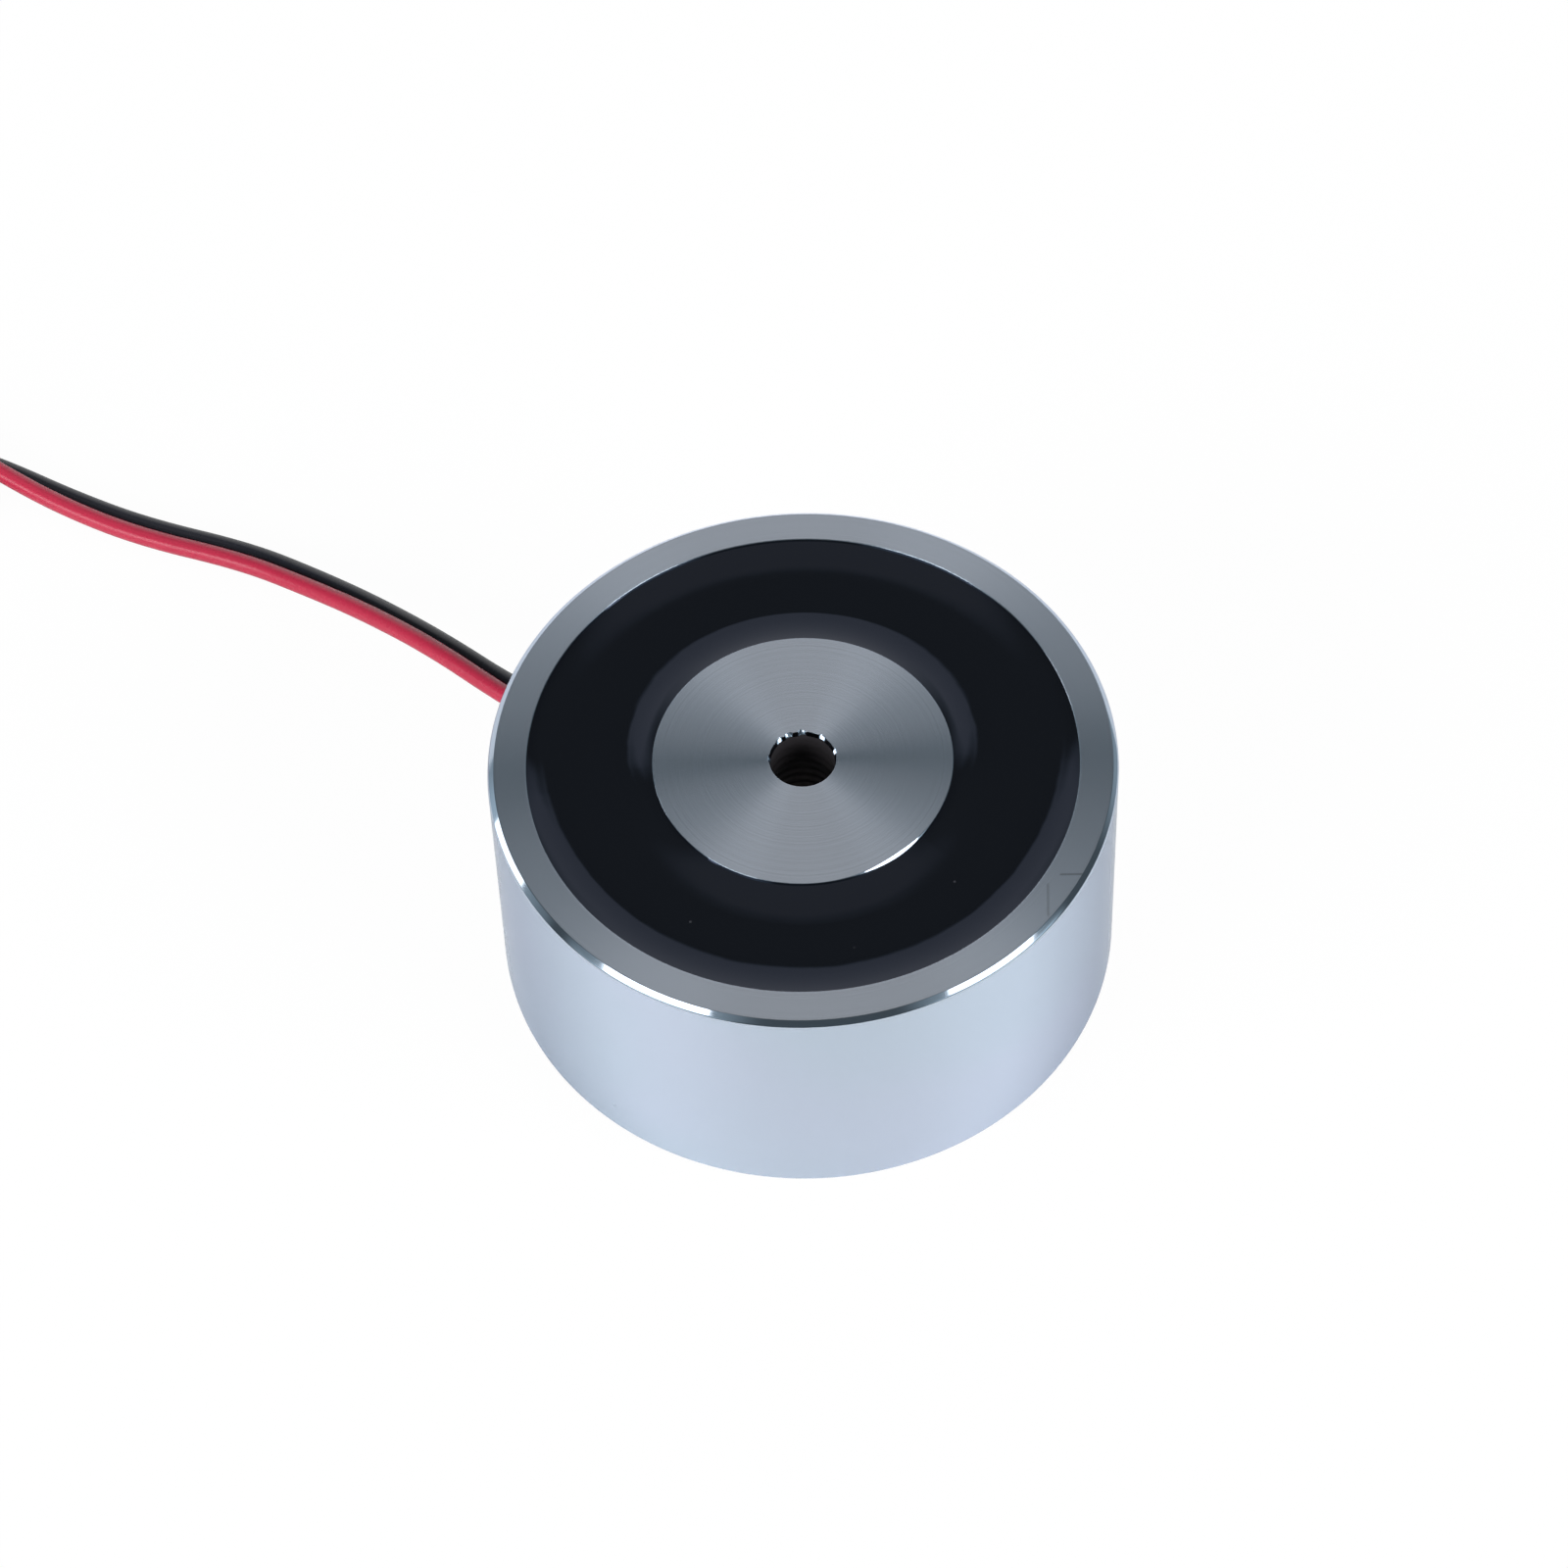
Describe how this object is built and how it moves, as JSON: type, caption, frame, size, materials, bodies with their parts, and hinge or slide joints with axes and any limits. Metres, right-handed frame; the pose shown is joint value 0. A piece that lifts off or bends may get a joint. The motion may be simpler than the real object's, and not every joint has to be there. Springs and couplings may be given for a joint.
{
  "type": "holding electromagnet",
  "caption": "Round pot electromagnet: plated steel pot with a tapped centre pole, a coil sealed under black resin flush with the holding face, and a red and black twin lead.",
  "frame": {"origin": "middle of the back face, which the magnet is screwed down by and stands on", "axes": "+Z along the pole, out of the holding face; the leads leave the wall along -X"},
  "size_m": [0.1726, 0.07, 0.03],
  "materials": {
    "plated_steel": "polished",
    "potting_resin": "gloss",
    "bobbin_nylon": "satin",
    "winding_copper": "satin",
    "insulating_tape": "gloss",
    "tinned_copper": "satin",
    "joint_sleeving": "matte",
    "red_insulation": "satin",
    "black_insulation": "satin",
    "wire_tie": "satin"
  },
  "bodies": {
    "root": {"pot_body": "plated_steel", "potting_compound": "potting_resin", "coil_bobbin": "bobbin_nylon", "coil_winding": "winding_copper", "coil_tape": "insulating_tape", "start_tail": "winding_copper", "finish_tail": "winding_copper", "red_joint": "tinned_copper", "black_joint": "tinned_copper", "red_joint_sleeve": "joint_sleeving", "black_joint_sleeve": "joint_sleeving", "red_lead": "red_insulation", "black_lead": "black_insulation", "red_lead_coil": "red_insulation", "black_lead_coil": "black_insulation", "red_lead_end": "tinned_copper", "black_lead_end": "tinned_copper", "lead_tie": "wire_tie"}
  },
  "joints": []
}
